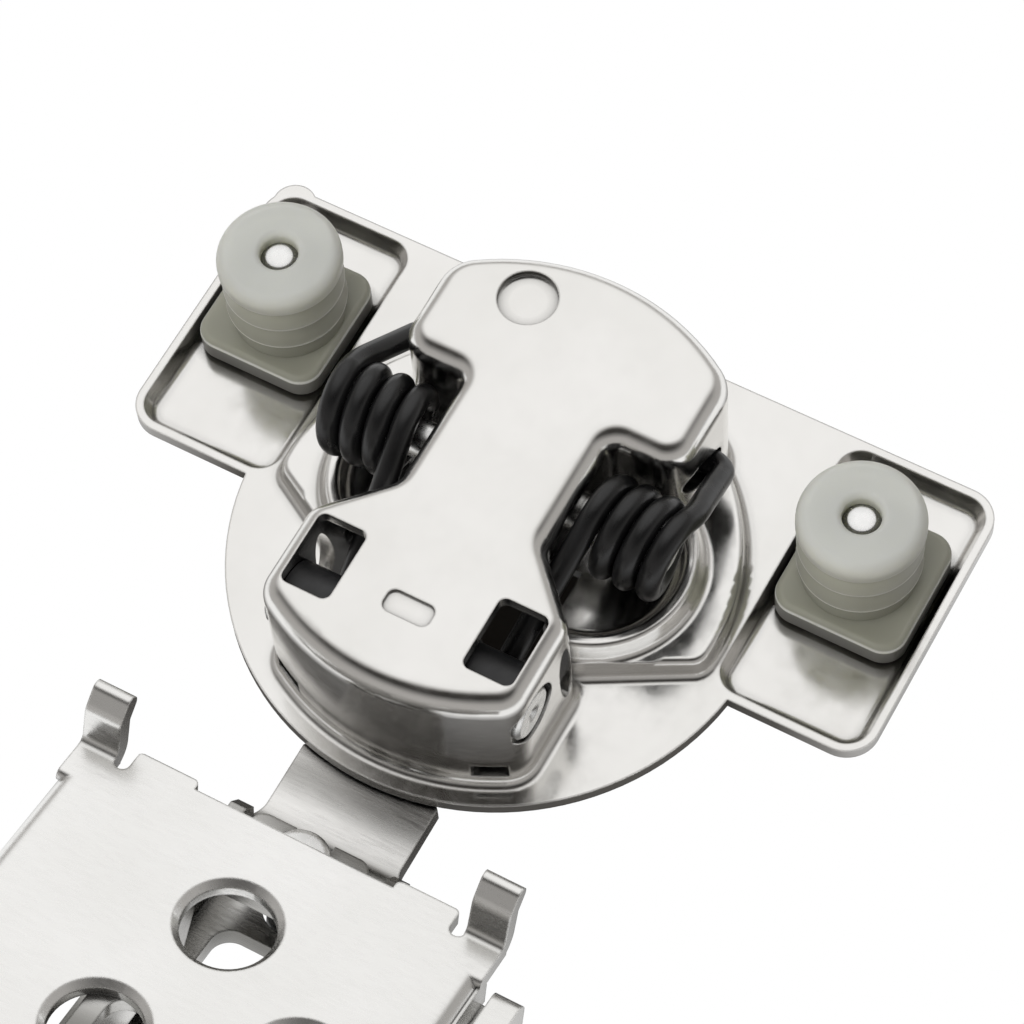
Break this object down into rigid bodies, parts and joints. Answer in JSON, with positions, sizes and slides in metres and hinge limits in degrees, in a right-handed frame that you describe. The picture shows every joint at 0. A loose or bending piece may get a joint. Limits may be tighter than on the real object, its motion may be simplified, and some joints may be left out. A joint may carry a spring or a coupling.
{
  "type": "concealed cup hinge",
  "caption": "Compact concealed cabinet hinge: pressed cup with press-in dowels, torsion springs and soft-close damper, gooseneck arm and adjustable face-frame plate.",
  "frame": {"origin": "the cup's axis on the face of its flange that lies against the door, in the middle of the 35 mm bore", "axes": "+Z along the cup's axis into the door; +X square to the hinge pin, from the arm towards the back of the cup; +Y along the hinge pin. The hinge is stored fully open, with the arm 105 degrees from its closed place"},
  "size_m": [0.0885, 0.058, 0.0228],
  "materials": {
    "nickel": "bright nickel plating on drawn steel, faint drawing lines",
    "nickel_plate": "satin nickel plating, fine rolling grain",
    "zinc": "nickel-plated screws and rivets",
    "spring_steel": "black oxide spring wire, oiled",
    "nylon": "natural nylon, slightly translucent",
    "black_plastic": "black acetal, satin",
    "rubber": "soft black buffer"
  },
  "bodies": {
    "cup": {"cup_body": "nickel", "pivot_pin": "zinc", "spring_pin": "zinc", "spring_right": "spring_steel", "spring_left": "spring_steel", "dowel_right": "nylon", "dowel_left": "nylon", "dowel_screws": "zinc", "damper_housing": "black_plastic", "damper_cap": "black_plastic", "spring_shoe_right": "black_plastic", "spring_shoe_left": "black_plastic"},
    "piston": {"damper_piston": "zinc", "damper_buffer": "rubber"},
    "arm": {"pivot_arm": "nickel", "rear_pin": "zinc"},
    "channel": {"base_channel": "nickel"},
    "adjusting_screw": {"overlay_screw": "zinc"},
    "plate": {"mounting_plate": "nickel_plate", "slide_rivets": "zinc"},
    "cam": {"height_cam": "zinc"}
  },
  "joints": [
    {"name": "door_hinge", "type": "hinge", "parent": "cup", "child": "arm", "pos_m": [-0.0125, 0, 0.0069], "axis": [0, 1, 0], "range_deg": [-105, 0]},
    {"name": "damper_slide", "type": "slide", "parent": "cup", "child": "piston", "axis": [1, 0, 0], "range_m": [0, 0.0045]},
    {"name": "overlay_adjust", "type": "hinge", "parent": "arm", "child": "channel", "pos_m": [-0.05688, 0, 0.00733], "axis": [0, 1, 0], "range_deg": [-2, 2]},
    {"name": "overlay_screw_turn", "type": "hinge", "parent": "channel", "child": "adjusting_screw", "pos_m": [-0.02629, 0, 0.00597], "axis": [0.2588, 0, 0.9659], "range_deg": [-540, 540]},
    {"name": "height_adjust", "type": "slide", "parent": "channel", "child": "plate", "axis": [0, 1, 0], "range_m": [-0.0013, 0.0013]},
    {"name": "height_cam_turn", "type": "hinge", "parent": "plate", "child": "cam", "pos_m": [-0.05421, -0.0096, 0.01345], "axis": [0.2588, 0, 0.9659], "range_deg": [-61, 61]}
  ],
  "couplings": [
    {"joint": "damper_slide", "follows": "door_hinge", "m_per_rad": -0.002401},
    {"joint": "overlay_screw_turn", "follows": "overlay_adjust", "ratio": -268.1},
    {"joint": "height_cam_turn", "follows": "height_adjust", "rad_per_m": -805.54}
  ]
}
